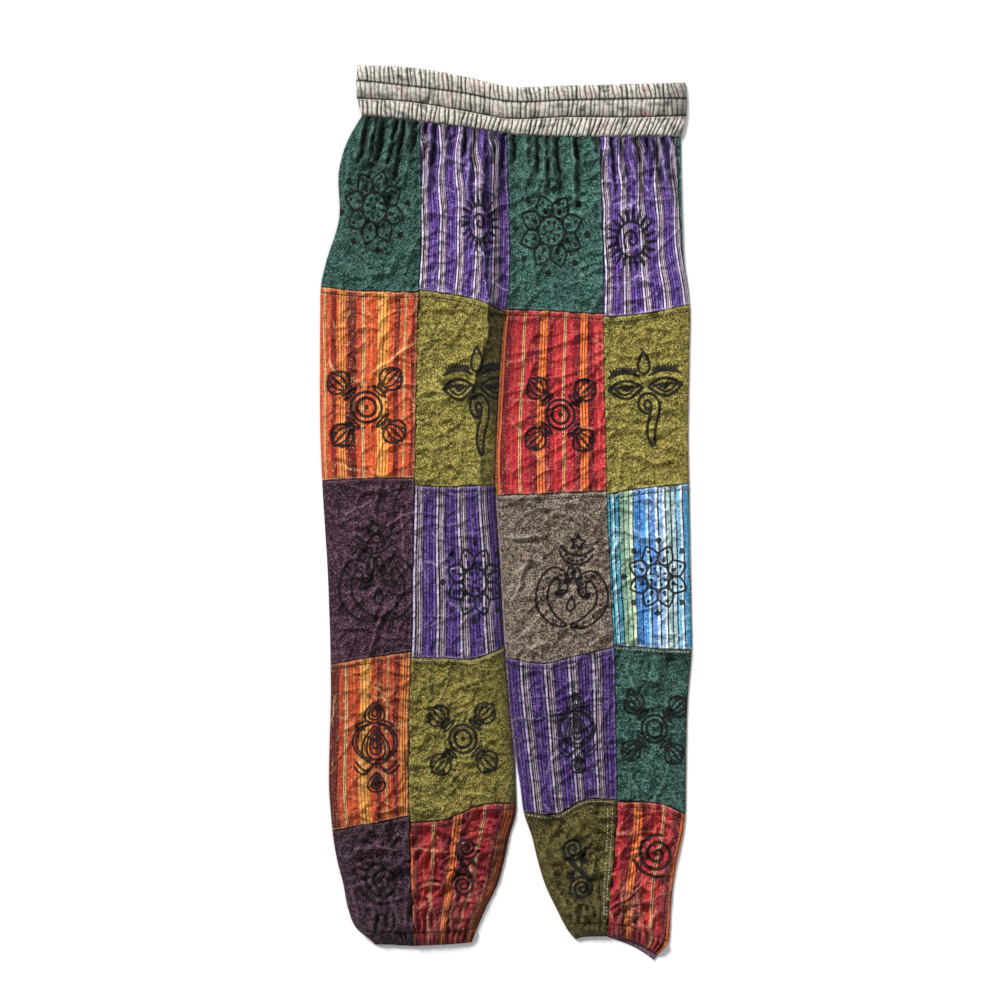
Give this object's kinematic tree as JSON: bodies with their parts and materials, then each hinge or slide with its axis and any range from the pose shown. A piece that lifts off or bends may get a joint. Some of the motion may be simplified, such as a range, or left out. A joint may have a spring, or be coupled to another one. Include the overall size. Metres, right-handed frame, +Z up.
{
  "type": "patchwork trousers with an elastic waist, laid flat",
  "caption": "Long loose cotton trousers pieced from plain and striped patches, with a gathered elastic waistband and gathered cuffs, lying flat face up.",
  "frame": {"origin": "on the surface that the trousers lie on, under the middle of the whole garment", "axes": "+Z up out of the front, +Y from the hems to the waistband, +X to the right as seen from above"},
  "size_m": [0.4087, 0.9833, 0.0091],
  "materials": {
    "green_cotton": "stonewashed bottle-green plain weave",
    "olive_cotton": "stonewashed olive plain weave",
    "plum_cotton": "stonewashed dark plum plain weave",
    "taupe_cotton": "stonewashed brown-grey plain weave",
    "purple_striped_cotton": "warp stripes of purple, lilac and near-black",
    "orange_striped_cotton": "warp stripes of orange, yellow and maroon",
    "red_striped_cotton": "warp stripes of red, orange, cream and maroon",
    "blue_striped_cotton": "warp stripes of blues, white and pale green",
    "waistband_cotton": "uneven cream and grey yarns, gathered over elastic"
  },
  "bodies": {
    "root": {"front_r1c1": "green_cotton", "front_r1c2": "purple_striped_cotton", "front_r1c3": "green_cotton", "front_r1c4": "purple_striped_cotton", "front_r2c1": "orange_striped_cotton", "front_r2c2": "olive_cotton", "front_r2c3": "red_striped_cotton", "front_r2c4": "olive_cotton", "front_r3c1": "plum_cotton", "front_r3c2": "purple_striped_cotton", "front_r3c3": "taupe_cotton", "front_r3c4": "blue_striped_cotton", "front_r4c1": "orange_striped_cotton", "front_r4c2": "olive_cotton", "front_r4c3": "purple_striped_cotton", "front_r4c4": "green_cotton", "front_r5c1": "plum_cotton", "front_r5c2": "red_striped_cotton", "front_r5c3": "olive_cotton", "front_r5c4": "red_striped_cotton", "back_r1c1": "purple_striped_cotton", "back_r1c2": "green_cotton", "back_r1c3": "purple_striped_cotton", "back_r1c4": "green_cotton", "back_r2c1": "olive_cotton", "back_r2c2": "red_striped_cotton", "back_r2c3": "olive_cotton", "back_r2c4": "orange_striped_cotton", "back_r3c1": "blue_striped_cotton", "back_r3c2": "taupe_cotton", "back_r3c3": "purple_striped_cotton", "back_r3c4": "plum_cotton", "back_r4c1": "green_cotton", "back_r4c2": "purple_striped_cotton", "back_r4c3": "olive_cotton", "back_r4c4": "orange_striped_cotton", "back_r5c1": "red_striped_cotton", "back_r5c2": "olive_cotton", "back_r5c3": "red_striped_cotton", "back_r5c4": "plum_cotton", "waistband_front": "waistband_cotton", "waistband_back": "waistband_cotton"}
  },
  "joints": []
}
